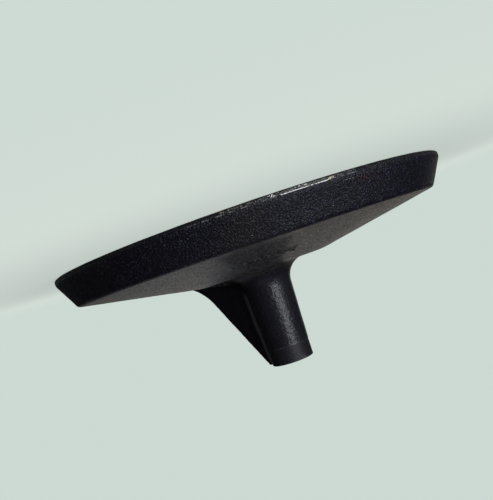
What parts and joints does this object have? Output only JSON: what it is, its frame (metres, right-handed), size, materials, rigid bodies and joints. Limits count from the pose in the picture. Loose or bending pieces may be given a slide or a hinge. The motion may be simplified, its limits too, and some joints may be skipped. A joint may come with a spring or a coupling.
{
  "type": "planter closing wheel",
  "caption": "Cast iron wheel with a tapered tread, a shallow cone disc dished on its outer face, and a long bored hub braced by a web.",
  "frame": {"origin": "centre of the outer face's plane, on the wheel's axis", "axes": "+Z along the wheel's axis towards the hub's end; the web stands in the plane 35 degrees from +X towards +Y"},
  "size_m": [0.3048, 0.3048, 0.1154],
  "materials": {
    "cast_iron_black": "black paint over as-cast iron, satin, rubbed grey along the rim"
  },
  "bodies": {
    "root": {"closing_wheel": "cast_iron_black"}
  },
  "joints": []
}
